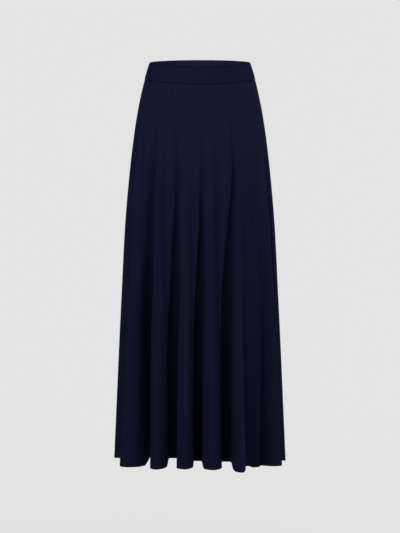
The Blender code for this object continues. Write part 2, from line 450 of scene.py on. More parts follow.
@dataclass(frozen=True)
class Cut:
    """The skirt's driving sizes.

    dip_front and dip_rest are how far the waist lies above its mean height in front and
    elsewhere. hem_slope is how far the hem climbs for each metre to the wearer's left, and
    valley_rise is how far it climbs in a full valley, whose depth is deep. band_proud is how
    far the waistband stands outside the hull. stations are the heights at which each valley's
    places across are given.
    """

    band_top: float = 0.0195
    band_foot: float = -0.0200
    hem: float = -0.9100
    dip_front: float = -0.0015
    dip_rest: float = 0.0020
    hem_slope: float = -0.020
    valley_rise: float = 0.0110
    deep: float = 0.080
    knit: float = 0.0011
    band_knit: float = 0.0026
    band_proud: float = 0.0006
    stations: tuple[float, ...] = (-0.0200, -0.180, -0.420, -0.620, -0.9100)
    hull: tuple[Section, ...] = (
        Section(0.0195, 0.1160, 0.0880, 2.00),
        Section(-0.0200, 0.1280, 0.0970, 2.05),
        Section(-0.0600, 0.1377, 0.1030, 2.10),
        Section(-0.1100, 0.1472, 0.1085, 2.18),
        Section(-0.1800, 0.1570, 0.1150, 2.30),
        Section(-0.3200, 0.1712, 0.1240, 2.45),
        Section(-0.5300, 0.1830, 0.1310, 2.60),
        Section(-0.9100, 0.2007, 0.1400, 2.70),
    )
    valleys: tuple[Valley, ...] = (
        Valley(
            "side_right", FRONT, 0.0005, (-0.90, -0.962, -0.977, -0.980, -0.991), -0.07, 0.074, 0.038,
            proud=0.002, hang=0.007, after=0.024,
        ),
        Valley(
            "right_outer", FRONT, 0.0, (-0.71, -0.700, -0.716, -0.730, -0.702), -0.05, 0.096, 0.037,
            proud=0.002, hang=0.004, before=0.032,
        ),
        Valley(
            "front_right", FRONT, 0.0003, (-0.49, -0.346, -0.324, -0.348, -0.350), -0.11, 0.082, 0.0245,
            proud=0.002, hang=0.001,
        ),
        Valley(
            "front_middle", FRONT, 0.0003, (0.00, 0.032, 0.012, -0.014, -0.017), -0.14, 0.084, 0.0214,
            lean=-0.002, proud=0.004, hang=0.001, lifts=0.5,
        ),
        Valley(
            "front_left", FRONT, 0.0003, (0.435, 0.490, 0.383, 0.340, 0.336), -0.11, 0.080, 0.025,
            lean=0.002, proud=0.008, hang=0.006, lifts=0.5,
        ),
        Valley(
            "left_outer", FRONT, 0.0, (0.62, 0.590, 0.594, 0.612, 0.632), -0.16, 0.044, 0.024,
            proud=-0.044, hang=0.004, after=0.002, edge=1.2, lifts=0.0, slack=0.6,
        ),
        Valley(
            "left_crease", FRONT, 0.0, (0.80, 0.800, 0.856, 0.906, 0.918), -0.24, 0.057, 0.024,
            proud=-0.002, hang=0.003, before=0.002, edge=1.1, lifts=-0.5, slack=0.55,
        ),
        Valley(
            "side_left", FRONT, 0.0005, (0.90, 0.958, 0.980, 0.989, 0.989), -0.10, 0.052, 0.024,
            hang=-0.003, edge=2.0,
        ),
        Valley(
            "left_hollow", BACK, 0.0, (0.999, 0.998, 0.997, 0.997, 0.998), -0.32, 0.034, 0.022,
            hang=0.002,
        ),
        Valley("back_left_outer", BACK, 0.0, (0.97, 0.955, 0.950, 0.948, 0.945), -0.14, 0.060, 0.030),
        Valley(
            "back_left_side", BACK, 0.0004, (0.80, 0.740, 0.690, 0.672, 0.660), -0.10, 0.074, 0.023,
            lean=0.003, hang=0.003,
        ),
        Valley(
            "back_left", BACK, 0.0003, (0.42, 0.400, 0.350, 0.335, 0.330), -0.12, 0.080, 0.021,
            proud=0.003,
        ),
        Valley(
            "back_middle", BACK, 0.0003, (0.01, -0.010, 0.000, 0.012, 0.020), -0.10, 0.084, 0.024,
            lean=-0.004, proud=0.003, hang=0.003,
        ),
        Valley(
            "back_right", BACK, 0.0003, (-0.42, -0.410, -0.360, -0.348, -0.345), -0.11, 0.078, 0.021,
            lean=0.003, hang=0.001,
        ),
        Valley(
            "back_right_side", BACK, 0.0004, (-0.80, -0.750, -0.700, -0.680, -0.670), -0.12, 0.076, 0.022,
            hang=0.003,
        ),
        Valley("back_right_outer", BACK, 0.0, (-0.97, -0.955, -0.950, -0.948, -0.945), -0.13, 0.062, 0.030),
        Valley(
            "right_hollow", BACK, 0.0, (-0.999, -0.997, -0.998, -0.998, -0.999), -0.28, 0.036, 0.022,
            hang=-0.002,
        ),
    )
    creases: tuple[Crease, ...] = (
        Crease("right_branch", FRONT, -0.10, -0.68, -0.560, -0.400, 0.0140, 0.0070),
        Crease("middle_branch", FRONT, -0.15, -0.72, -0.112, -0.090, 0.0110, 0.0062),
        Crease("left_branch", FRONT, -0.07, -0.74, 0.245, 0.245, 0.0135, 0.0070),
        Crease("right_flank", FRONT, -0.07, -0.52, -0.880, -0.770, 0.0090, 0.0062),
        Crease("left_flank", FRONT, -0.14, -0.60, 0.740, 0.700, 0.0050, 0.0070),
        Crease("back_left_branch", BACK, -0.12, -0.60, 0.560, 0.450, 0.0090, 0.0070),
        Crease("back_middle_branch", BACK, -0.10, -0.58, 0.200, 0.130, 0.0110, 0.0068),
        Crease("back_right_branch", BACK, -0.14, -0.62, -0.230, -0.220, 0.0085, 0.0062),
        Crease("back_right_flank", BACK, -0.12, -0.74, -0.870, -0.840, 0.0060, 0.0090),
    )


class Hull:
    """The plain outline at one height, anticlockwise from the back, measured along itself."""

    STEPS = 1440

    def __init__(self, cut: Cut, height: float) -> None:
        """Trace the outline at a height."""
        heights = [section.height for section in cut.hull]
        self.half_width, self.half_depth, self.squareness = (
            through(heights, [getattr(section, size) for section in cut.hull], height)
            for size in ("half_width", "half_depth", "squareness")
        )
        self.bearings = np.linspace(-np.pi, np.pi, self.STEPS + 1)
        power = self.squareness
        reach = (
            np.abs(np.sin(self.bearings) / self.half_width) ** power
            + np.abs(np.cos(self.bearings) / self.half_depth) ** power
        ) ** (-1 / power)
        self.points = np.column_stack([np.sin(self.bearings), -np.cos(self.bearings)]) * reach[:, None]
        runs = np.linalg.norm(np.diff(self.points, axis=0), axis=1)
        self.distances = np.concatenate([[0.0], np.cumsum(runs)])
        self.length = float(self.distances[-1])

    def distance_at(self, face: Face, across: float) -> float:
        """Find a point on the hull.

        Args:
            face: the half of the skirt that it is on.
            across: how far across it is, as a share of the half width.

        Returns:
            How far along the hull it lies.
        """
        depth = self.half_depth * (1 - abs(across) ** self.squareness) ** (1 / self.squareness)
        bearing = np.arctan2(across * self.half_width, -face.value * depth)
        return float(np.interp(bearing, self.bearings, self.distances))

    def at(self, distance: Array) -> tuple[Array, Array]:
        """Read the hull.

        Args:
            distance: distances along it, which may run past its ends.

        Returns:
            The points there, and their bearings from the front.
        """
        distance = np.mod(distance, self.length)
        x, y, bearing = (
            np.interp(distance, self.distances, column)
            for column in (self.points[:, 0], self.points[:, 1], self.bearings)
        )
        return np.column_stack([x, y]), bearing

    def inward(self, distance: Array) -> Array:
        """Give unit vectors that point into the skirt, square to the hull, at distances along it."""
        step = self.length / self.STEPS
        along = self.at(distance + step)[0] - self.at(distance - step)[0]
        normal = np.column_stack([-along[:, 1], along[:, 0]])
        return normal / np.linalg.norm(normal, axis=1)[:, None]


class Fold:
    """One valley at one height.

    A new fold has the share NEW_MOUTH of its mouth and the slack SOFT_WALL, and opens to its
    own mouth and slack between the two shares of its length in OPENS. SOFT_START is the share
    over which it deepens gently. A lobe falls back by at most the share MOST_BACK of its depth.
    """

    MOST_BACK = 0.5
    NEW_MOUTH = 0.42
    OPENS = (0.22, 0.58)
    SOFT_START = 0.08
    SOFT_WALL = 0.90
    WALL_STEPS = 9

    def __init__(self, valley: Valley, cut: Cut, hull: Hull, height: float) -> None:
        """Size the valley at a height of the hull."""
        across = through(cut.stations, valley.across, height)
        share = float(np.clip((valley.start - height) / (valley.start - cut.hem), 0.0, 1.0))
        growth = share * share / (share + self.SOFT_START) * (1 + self.SOFT_START)
        opened = eased((share - self.OPENS[0]) / (self.OPENS[1] - self.OPENS[0]))
        self.seam = valley.gap
        self.place = hull.distance_at(valley.face, across)
        self.depth = valley.depth * growth
        self.half_mouth = valley.mouth / 2 * (self.NEW_MOUTH + (1 - self.NEW_MOUTH) * opened)
        self.half_wall = self.SOFT_WALL + (valley.slack - self.SOFT_WALL) * opened
        self.lean = valley.lean * growth
        self.proud = valley.proud * growth
        self.hang = valley.hang * growth
        self.edge = valley.edge
        self.lifts = valley.lifts
        self.before = min(valley.before * growth, self.depth * self.MOST_BACK)
        self.after = min(valley.after * growth, self.depth * self.MOST_BACK)

    def keep_within(self, room: float) -> None:
        """Narrow the mouth until the heads of the walls stay within the room."""
        self.half_mouth = min(self.half_mouth, room / (1 + self.half_wall))

    def wall(self) -> Array:
        """Give the places along one wall, from its foot to its head, from the valley's bottom."""
        return self.half_mouth * (1 + self.half_wall * np.linspace(-1.0, 1.0, self.WALL_STEPS + 1))

    def shares(self, away: Array, spread: float = 1.0) -> Array:
        """Say how far down the valley the cloth lies at distances from its bottom, 1 to 0.

        Args:
            away: the distances.
            spread: how many times wider than the wall the change is.

        Returns:
            The shares.
        """
        wall = self.wall()
        foot = wall[0] / spread
        return 1 - eased((away - foot) / (wall[-1] * spread - foot))


@dataclass
class Row:
    """One level row of a gore: its points, how far each is from a seam, and how much painted shade each
    takes.
    """

    points: Array
    from_seam: Array
    low: Array


class SkirtForm:
    """The folded form of the whole skirt, row by row.

    ROOMIEST is the most of the way to the next valley that one wall may take up, and
    SEAM_COLUMNS are the distances from a seam of the columns that shape its roll. SWELL is how
    sharply a crease fades towards its ends. FAR stands for a distance from any seam.
    """

    ROOMIEST = 0.36
    LOBE_STEPS = 14
    SEAM_COLUMNS = (0.0, 0.0004, 0.0010, 0.0020)
    SWELL = 1.5
    FAR = 1.0

    def __init__(self, cut: Cut) -> None:
        """Hold the sizes."""
        self.cut = cut
        self.names = [valley.name for valley in cut.valleys]

    def lift(self, bearing: Array) -> Array:
        """Say how far the waist lies above its mean height, at bearings from the front."""
        ahead = np.clip(np.cos(bearing), 0, 1) ** 2
        return self.cut.dip_rest + (self.cut.dip_front - self.cut.dip_rest) * ahead

    def folds(self, hull: Hull, height: float) -> list[Fold]:
        """Size every fold at one height, with room left between neighbours."""
        folds = [Fold(valley, self.cut, hull, height) for valley in self.cut.valleys]
        for fold, after in zip(folds, folds[1:] + folds[:1], strict=True):
            gap = (after.place - fold.place) % hull.length
            fold.keep_within(self.ROOMIEST * gap)
            after.keep_within(self.ROOMIEST * gap)
        return folds

    def trough(self, hull: Hull, height: float, distance: Array) -> Array:
        """Add up how deep the creases are at distances along the hull."""
        total = np.zeros(len(distance))
        for crease in self.cut.creases:
            share = (crease.top - height) / (crease.top - crease.bottom)
            if not 0.0 < share < 1.0:
                continue
            across = crease.across_top + (crease.across_bottom - crease.across_top) * eased(share)
            away = (distance - hull.distance_at(crease.face, across) + hull.length / 2) % hull.length
            away -= hull.length / 2
            swell = math.sin(math.pi * share) ** self.SWELL
            total += crease.depth * swell * np.exp(-((away / crease.width) ** 2))
        return total

    def span(self, hull: Hull, height: float, fold: Fold, after: Fold) -> tuple[Array, ...]:
        """Lay the cloth from the bottom of one valley to the next.

        A lobe that is set back takes painted shade by as much, like the walls of a valley.

        Args:
            hull: the hull at this height.
            height: the height.
            fold: the valley that the cloth starts in.
            after: the valley that it ends in.

        Returns:
            The points, their bearings, how far the hem drops at each, their distances from the
            first valley along the hull, and how much painted shade each takes, from 0 to 1.
        """
        gap = (after.place - fold.place) % hull.length
        rise, fall = fold.wall(), gap - after.wall()[::-1]
        lobe = np.linspace(rise[-1], fall[0], self.LOBE_STEPS + 1)[1:-1]
        columns = np.array(self.SEAM_COLUMNS)
        first = fold.seam / 2 + columns if fold.seam else np.zeros(1)
        last = gap - after.seam / 2 - columns if after.seam else np.full(1, gap)
        along = np.sort(np.concatenate([first, rise, lobe, fall, last]))

        across = np.clip((along - rise[-1]) / (fall[0] - rise[-1]), 0.0, 1.0)
        off = 2 * across - 1
        setback = off * off * np.where(off < 0, fold.after, after.before) - fold.proud
        place = fold.place + along
        points, bearings = hull.at(place)
        setback += self.trough(hull, height, place)
        points = points + hull.inward(place) * setback[:, None]

        drops = np.full(len(along), fold.hang)
        # Painted shade: a set-back lobe is painted darker by how far it stands back, and each valley's walls
        # by how far down they lie.
        low = np.full(len(along), max(-fold.proud, 0.0) / self.cut.deep)
        for valley, away, crown in ((fold, along, fold.after), (after, gap - along, after.before)):
            sunk = valley.shares(away)
            full = min(valley.depth / self.cut.deep, 1.0)
            low = np.maximum(low, sunk * full)
            inward = hull.inward(np.array([valley.place]))[0]
            points += sunk[:, None] * (inward * (valley.depth - crown + fold.proud))
            points[:, 0] += sunk * valley.lean
            risen = valley.shares(away, valley.edge)
            drops -= risen * (fold.hang + valley.lifts * self.cut.valley_rise * full)
        return points, bearings, drops, along, low

    def row(self, first: str, last: str, share: float) -> Row:
        """Lay one row of a gore.

        Args:
            first: the valley with the seam that the gore starts at.
            last: the valley with the seam that it ends at.
            share: how far down the gore the row is, 0 at the waist seam and 1 at the hem.

        Returns:
            The row.
        """
        height = self.cut.band_foot + (self.cut.hem - self.cut.band_foot) * share
        hull = Hull(self.cut, height)
        folds = self.folds(hull, height)
        index, end = self.names.index(first), self.names.index(last)
        # Each span also gives its shares of painted shade.
        points, seams, painted_shade_shares = [], [], []
        while index != end:
            after = (index + 1) % len(folds)
            flat, bearings, drops, along, low = self.span(hull, height, folds[index], folds[after])
            foot = self.cut.hem_slope * flat[:, 0] - drops
            level = height + self.lift(bearings) * (1 - share) + foot * share
            away = np.full(len(along), self.FAR)
            if folds[index].seam:
                away = np.minimum(away, along - along[0])
            if folds[after].seam:
                away = np.minimum(away, along[-1] - along)
            keep = slice(0, None if after == end else -1)
            points.append(np.column_stack([flat, level])[keep])
            seams.append(away[keep])
            painted_shade_shares.append(low[keep])
            index = after
        return Row(np.concatenate(points), np.concatenate(seams), np.concatenate(painted_shade_shares))


# ------------------------------------------------------------------ shells
@dataclass
class Shell:
    """A closed thin wall between an outer and an inner grid, rows from the top down.

    lie is where each point lies on the flat cloth, and the last grid is how much painted shade the outer
    face takes there, from 0 to 1.
    """

    name: str
    outer: Array
    inner: Array
    lie: Array
    low: Array

    def build(self, material: bpy.types.Material, home: bpy.types.Collection) -> bpy.types.Object:
        """Make the object.

        Args:
            material: its finish.
            home: the collection that it goes in.

        Returns:
            The object, with a UV map named knit, in metres of flat cloth.
        """
        rows, columns = self.outer.shape[:2]
        vertices = np.concatenate([self.outer.reshape(-1, 3), self.inner.reshape(-1, 3)])
        number = np.arange(rows * columns).reshape(rows, columns)
        out, into = number, number + rows * columns
        faces = np.concatenate(
            [
                self.quads(out[:-1, :-1], out[1:, :-1], out[1:, 1:], out[:-1, 1:]),
                self.quads(into[:-1, :-1], into[:-1, 1:], into[1:, 1:], into[1:, :-1]),
                self.quads(out[0, :-1], out[0, 1:], into[0, 1:], into[0, :-1]),
                self.quads(out[-1, 1:], out[-1, :-1], into[-1, :-1], into[-1, 1:]),
                self.quads(out[:-1, 0], into[:-1, 0], into[1:, 0], out[1:, 0]),
                self.quads(out[1:, -1], into[1:, -1], into[:-1, -1], out[:-1, -1]),
            ]
        )
        mesh = bpy.data.meshes.new(self.name)
        mesh.from_pydata(vertices.tolist(), [], faces.tolist())
        lie = np.concatenate([self.lie.reshape(-1, 2)] * 2)
        loops = np.empty(len(mesh.loops), dtype=np.int32)
        mesh.loops.foreach_get("vertex_index", loops)
        mesh.uv_layers.new(name="knit").data.foreach_set("uv", lie[loops].ravel())
        # The inner face is marked for its paler colour, painted light, and the outer face carries its shares
        # of painted shade.
        inside = np.repeat([0.0, 1.0], rows * columns).astype(np.float32)
        mesh.attributes.new("inside_painted_light", "FLOAT", "POINT").data.foreach_set("value", inside)
        painted_shade = np.concatenate([self.low.ravel(), np.zeros(rows * columns)]).astype(np.float32)
        mesh.attributes.new("painted_shade_mask", "FLOAT", "POINT").data.foreach_set("value", painted_shade)
        mesh.shade_smooth()
        mesh.materials.append(material)
        piece = bpy.data.objects.new(self.name, mesh)
        home.objects.link(piece)
        return piece

    @staticmethod
    def quads(*corners: Array) -> Array:
        """Stack four arrays of corners into faces."""
        return np.stack([corner.ravel() for corner in corners], axis=1)


def normals_of(grid: Array) -> Array:
    """Give unit normals that point out of a grid whose rows run down and columns anticlockwise."""
    down = np.gradient(grid, axis=0)
    along = np.gradient(grid, axis=1)
    normal = np.cross(down, along)
    return normal / np.linalg.norm(normal, axis=2, keepdims=True)


def flat_lie(grid: Array) -> Array:
    """Measure how a grid lies when flat: across from its middle and down from its top."""
    across = np.linalg.norm(np.diff(grid, axis=1), axis=2)
    across = np.concatenate([np.zeros((len(grid), 1)), np.cumsum(across, axis=1)], axis=1)
    across -= across[:, -1:] / 2
    down = np.linalg.norm(np.diff(grid, axis=0), axis=2).mean(axis=1)
    down = np.concatenate([[0.0], np.cumsum(down)])
    return np.stack([across, np.repeat(down[:, None], grid.shape[1], axis=1)], axis=2)


def left_of(way: Array) -> Array:
    """Turn level directions a quarter to the left, which is into the skirt."""
    return np.stack([-way[..., 1], way[..., 0], np.zeros(way.shape[:-1])], axis=-1)


@dataclass(frozen=True)
class Allowance:
    """The strip of cloth inside a seam, pressed flat behind the next piece.

    clear is its distance from that piece, tilt is how much further off its free edge lies, and
    root is where its first column after the seam lies.
    """

    width: float = 0.0060
    clear: float = 0.0003
    tilt: float = 0.0005
    root: float = 0.0006

    def extend(
        self, outer: Array, inner: Array, edge: Array, knit: float, behind: Array
    ) -> tuple[Array, Array]:
        """Carry a shell's last column round behind the next piece.

        Args:
            outer: the shell's outer grid.
            inner: its inner grid.
            edge: the last few columns of its face before its edges were rolled.
            knit: how thick the strip is.
            behind: how thick the next piece is at each row.

        Returns:
            The two grids with the strip's columns added.
        """
        way = edge[:, -1] - edge[:, 0]
        way[:, 2] = 0.0
        way /= np.linalg.norm(way, axis=1)[:, None]
        into = left_of(way)
        deep = (behind + self.clear)[:, None]
        stations = (
            (0.0, 0.0),
            (self.root, 0.0),
            (0.5 * self.width, 0.5 * self.tilt),
            (self.width, self.tilt),
        )
        out, back = [], []
        for along, drop in stations:
            # The first column of the back wraps round the seam by the strip's own thickness.
            wrap = knit * (along == 0)
            out.append(edge[:, -1] + way * along + into * (deep + drop))
            back.append(edge[:, -1] + way * (along - wrap) + into * (deep + drop + knit))
        return (
            np.concatenate([outer, np.stack(out, axis=1)], axis=1),
            np.concatenate([inner, np.stack(back, axis=1)], axis=1),
        )


@dataclass(frozen=True)
class Roll:
    """A rounded edge: how deep it turns under, and over what reach."""

    depth: float
    reach: float

    def under(self, distance: Array) -> Array:
        """Say how far the cloth has turned under at distances from its edge."""
        share = np.clip(1 - distance / self.reach, 0.0, 1.0)
        return self.depth * (1 - np.sqrt(np.clip(1 - share * share, 0.0, 1.0)))


def dress(piece: bpy.types.Object, node: str) -> None:
    """Hang a piece of cloth on the root body in the place of its node."""
    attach(piece, "root")
    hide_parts(node)


# ------------------------------------------------------------------ sub-assemblies
@dataclass(frozen=True)
class GorePattern:
    """One gore: the seams that it lies between."""

    name: str
    first: str
    last: str


@dataclass
class Gores:
    """The ten gores, each with its rolled seams and its turned hem.

    turn is the height of the turned hem, where the cloth is thicker by the share turn_bulk, which
    fades in over turn_fade from turn_margin above it. turn_roll rounds its inner edge. hem_line
    is where it is stitched, and the stitches press a dent into the face there. waist_gap parts
    the gores from the waistband. waist_rows and hem_rows are the distances of the close rows
    from the waist seam and from the hem. From the waist down to drop_reach the seam allowances
    lie lower, by allowance_drop at the waist, clear of the waistband's own strip.
    """

    cut: Cut
    finish: KnitFinish
    patterns: tuple[GorePattern, ...] = (
        GorePattern("gore_front_side_right", "side_right", "front_right"),
        GorePattern("gore_front_centre_right", "front_right", "front_middle"),
        GorePattern("gore_front_centre_left", "front_middle", "front_left"),
        GorePattern("gore_front_side_left", "front_left", "side_left"),
        GorePattern("gore_back_side_left", "side_left", "back_left_side"),
        GorePattern("gore_back_middle_left", "back_left_side", "back_left"),
        GorePattern("gore_back_centre_left", "back_left", "back_middle"),
        GorePattern("gore_back_centre_right", "back_middle", "back_right"),
        GorePattern("gore_back_middle_right", "back_right", "back_right_side"),
        GorePattern("gore_back_side_right", "back_right_side", "side_right"),
    )
    rows: int = 96
    seam_roll: Roll = Roll(0.0014, 0.0026)
    turn_roll: Roll = Roll(0.0009, 0.0014)
    turn: float = 0.0210
    turn_bulk: float = 0.85
    turn_fade: float = 0.0015
    turn_margin: float = 0.0010
    hem_line: float = 0.0190
    stitch_dent: float = 0.00012
    dent_width: float = 0.0013
    stitch_inset: int = 2
    waist_gap: float = 0.0006
    hem_rows: tuple[float, ...] = (
        0.0, 0.0003, 0.0008, 0.0014, 0.0022, 0.0050, 0.0100,
        0.0150, 0.0180, 0.0190, 0.0200, 0.0215, 0.0230, 0.0280,
    )
    waist_rows: tuple[float, ...] = (0.0, 0.0003, 0.0008, 0.0015, 0.0024, 0.0040, 0.0070)
    allowance: Allowance = Allowance()
    allowance_drop: float = 0.0062
    drop_reach: float = 0.0400

    def shares(self) -> Array:
        """Space the rows: close together at the waist seam and at the hem."""
        length = self.cut.band_foot - self.cut.hem
        top = np.array(self.waist_rows) / length
        foot = 1 - np.array(self.hem_rows[::-1]) / length
        middle = np.linspace(top[-1], foot[0], self.rows + 1)[1:-1]
        return np.concatenate([top, middle, foot])

    def shell_of(self, pattern: GorePattern, form: SkirtForm) -> tuple[Shell, Array]:
        """Shape one gore.

        Args:
            pattern: the seams that it lies between.
            form: the folded form.

        Returns:
            Its shell, and the line on its face where its hem is stitched.
        """
        shares = self.shares()
        length = self.cut.band_foot - self.cut.hem
        from_waist, from_hem = shares * length, (1 - shares) * length
        rows = [form.row(pattern.first, pattern.last, share) for share in shares]
        base = np.stack([row.points for row in rows])
        base[..., 2] -= self.waist_gap * (1 - shares)[:, None]
        normal = normals_of(base)
        hem_roll = Roll(self.cut.knit, self.turn_roll.reach)
        tuck = self.seam_roll.under(np.stack([row.from_seam for row in rows]))
        tuck = np.maximum(tuck, self.seam_roll.under(from_waist)[:, None])
        tuck = np.maximum(tuck, hem_roll.under(from_hem)[:, None])
        dent = self.stitch_dent * np.exp(-(((from_hem - self.hem_line) / self.dent_width) ** 2))[:, None]
        outer = base - normal * (tuck + dent)[..., None]
        turned = eased((self.turn + self.turn_margin - from_hem) / self.turn_fade)
        thick = self.cut.knit * (1 + self.turn_bulk * turned)
        inner = base - normal * (thick - self.turn_roll.under(from_hem))[:, None, None]

        line = int(np.argmin(np.abs(from_hem - self.hem_line)))
        inset = slice(self.stitch_inset, -self.stitch_inset)
        stitched = outer[line, inset] + normal[line, inset] * self.stitch_dent
        edge = base[:, -len(form.SEAM_COLUMNS) :].copy()
        edge[..., 2] -= self.allowance_drop * np.clip(1 - from_waist / self.drop_reach, 0.0, 1.0)[:, None]
        outer, inner = self.allowance.extend(outer, inner, edge, self.cut.knit, thick)
        # Painted shade of the folds, carried out over the seam strip.
        low = np.stack([row.low for row in rows])
        low = np.pad(low, ((0, 0), (0, outer.shape[1] - base.shape[1])), mode="edge")
        return Shell(pattern.name + "_cloth", outer, inner, flat_lie(outer), low), stitched

    def build(
        self, form: SkirtForm, home: bpy.types.Collection
    ) -> list[tuple[bpy.types.Object, Array, Array]]:
        """Build and dress every gore.

        Args:
            form: the folded form.
            home: the collection that they go in.

        Returns:
            Each gore with the line on its face where its hem is stitched, and its face as a grid.
        """
        material = self.finish.material()
        made = []
        for pattern in self.patterns:
            shell, stitched = self.shell_of(pattern, form)
            piece = shell.build(material, home)
            dress(piece, pattern.name)
            made.append((piece, stitched, shell.outer))
            LOG.info("%s: %d rows of %d", piece.name, *shell.outer.shape[:2])
        return made


@dataclass(frozen=True)
class Half:
    """Half of the waistband, between two side seams."""

    name: str
    first: str
    last: str


@dataclass
class Waistband:
    """The waistband: knit folded double over at its top, sewn to the gores at its foot.

    top_shade is how dark the painted shadow along the fold at its top is, fading out at top_shade_reach
    below.
    puff is how far its middle swells. The lip is the strip inside the waist seam, and lip_bevel
    is the share of its depth where its back begins. rows are the distances from its top.
    """

    cut: Cut
    finish: KnitFinish
    halves: tuple[Half, ...] = (
        Half("waistband_front", "side_right", "side_left"),
        Half("waistband_back", "side_left", "side_right"),
    )
    columns: int = 120
    top_roll: Roll = Roll(0.0013, 0.0013)
    foot_roll: Roll = Roll(0.0012, 0.0020)
    seam_roll: Roll = Roll(0.0007, 0.0016)
    top_shade: float = 0.9
    top_shade_reach: float = 0.0037
    puff: float = 0.0004
    allowance: Allowance = Allowance()
    allowance_knit: float = 0.0010
    allowance_drop: float = 0.0024
    lip_clear: float = 0.0004
    lip_knit: float = 0.0007
    lip_depth: float = 0.0066
    lip_bevel: float = 0.35
    rows: tuple[float, ...] = (
        0.0, 0.0002, 0.0005, 0.0009, 0.0014, 0.0024, 0.0050, 0.0090, 0.0130, 0.0170,
        0.0210, 0.0250, 0.0290, 0.0330, 0.0360, 0.0374, 0.0382, 0.0388, 0.0392, 0.0395,
    )

    def face(self, half: Half, form: SkirtForm) -> tuple[Array, Array]:
        """Lay the face of one half, before its edges are rolled.

        Args:
            half: the half.
            form: the folded form.

        Returns:
            The face as a grid, and how far each of its points lies from a side seam.
        """
        valleys = {valley.name: valley for valley in self.cut.valleys}
        first, last = valleys[half.first], valleys[half.last]
        ends = np.array(form.SEAM_COLUMNS)
        grid, seam = [], []
        for depth in self.rows:
            height = self.cut.band_top - depth
            hull = Hull(self.cut, height)
            start = hull.distance_at(first.face, first.across[0])
            run = (hull.distance_at(last.face, last.across[0]) - start) % hull.length
            inner = np.linspace(ends[-1], run - ends[-1], self.columns)[1:-1]
            along = np.concatenate([ends, inner, (run - ends)[::-1]])
            along[0] += first.gap / 2
            along[-1] -= last.gap / 2
            points, bearings = hull.at(start + along)
            points = points - hull.inward(start + along) * self.cut.band_proud
            grid.append(np.column_stack([points, height + form.lift(bearings)]))
            seam.append(np.minimum(along - along[0], along[-1] - along))
        return np.stack(grid), np.stack(seam)

    def shell_of(self, half: Half, form: SkirtForm) -> tuple[Shell, Array]:
        """Shape one half.

        Args:
            half: the half.
            form: the folded form.

        Returns:
            Its shell, and its face as a grid, without the strip inside the waist seam.
        """
        base, seam = self.face(half, form)
        normal = normals_of(base)
        from_top = np.array(self.rows)
        from_foot = self.rows[-1] - from_top
        over = self.top_roll.under(from_top)
        tuck = np.maximum(over, self.foot_roll.under(from_foot))[:, None]
        tuck = np.maximum(tuck, self.seam_roll.under(seam))
        swell = self.puff * np.sin(np.pi * from_top / self.rows[-1])[:, None]
        outer = base - normal * (tuck - swell)[..., None]
        inner = base - normal * (self.cut.band_knit - over)[:, None, None]
        thick = np.full(len(base), self.cut.band_knit)
        edge = base[:, -len(form.SEAM_COLUMNS) :].copy()
        edge[..., 2] -= self.allowance_drop * (1 - from_top / self.rows[-1])[:, None]
        face, inner = self.allowance.extend(outer, inner, edge, self.allowance_knit, thick)
        outer, inner = self.lip(face, inner, base, normal)
        # Painted shadow along the pressed top fold, fading out below it.
        low = np.zeros(outer.shape[:2])
        low[: len(from_top)] = self.top_shade * eased(1 - from_top / self.top_shade_reach)[:, None]
        return Shell(half.name + "_cloth", outer, inner, flat_lie(outer), low), face

    def build(self, form: SkirtForm, home: bpy.types.Collection) -> list[tuple[bpy.types.Object, Array]]:
        """Build and dress both halves.

        Args:
            form: the folded form.
            home: the collection that they go in.

        Returns:
            Each half with its face as a grid.
        """
        material = self.finish.material()
        made = []
        for half in self.halves:
            shell, face = self.shell_of(half, form)
            piece = shell.build(material, home)
            dress(piece, half.name)
            made.append((piece, face))
            LOG.info("%s: %d rows of %d", piece.name, *shell.outer.shape[:2])
        return made

    def lip(self, outer: Array, inner: Array, base: Array, normal: Array) -> tuple[Array, Array]:
        """Carry the band's foot down as a strip inside the waist seam, behind the gores' tops.

        Args:
            outer: the band's outer grid.
            inner: its inner grid.
            base: its face before its edges were rolled.
            normal: the normals of that face.

        Returns:
            The two grids with the strip's rows added.
        """
        level = normal[-1] * (1.0, 1.0, 0.0)
        behind = base[-1] - level * (self.cut.knit + self.lip_clear)
        sides = outer.shape[1] - base.shape[1]
        strip = np.concatenate([behind, outer[-1, -sides:]])
        back = np.concatenate([behind - level * self.lip_knit, inner[-1, -sides:]])
        down = np.array([0.0, 0.0, -self.lip_depth])
        outer = np.concatenate([outer, [strip, strip + down]])
        inner = np.concatenate([inner, [back + self.lip_bevel * down, back + down]])
        return outer, inner


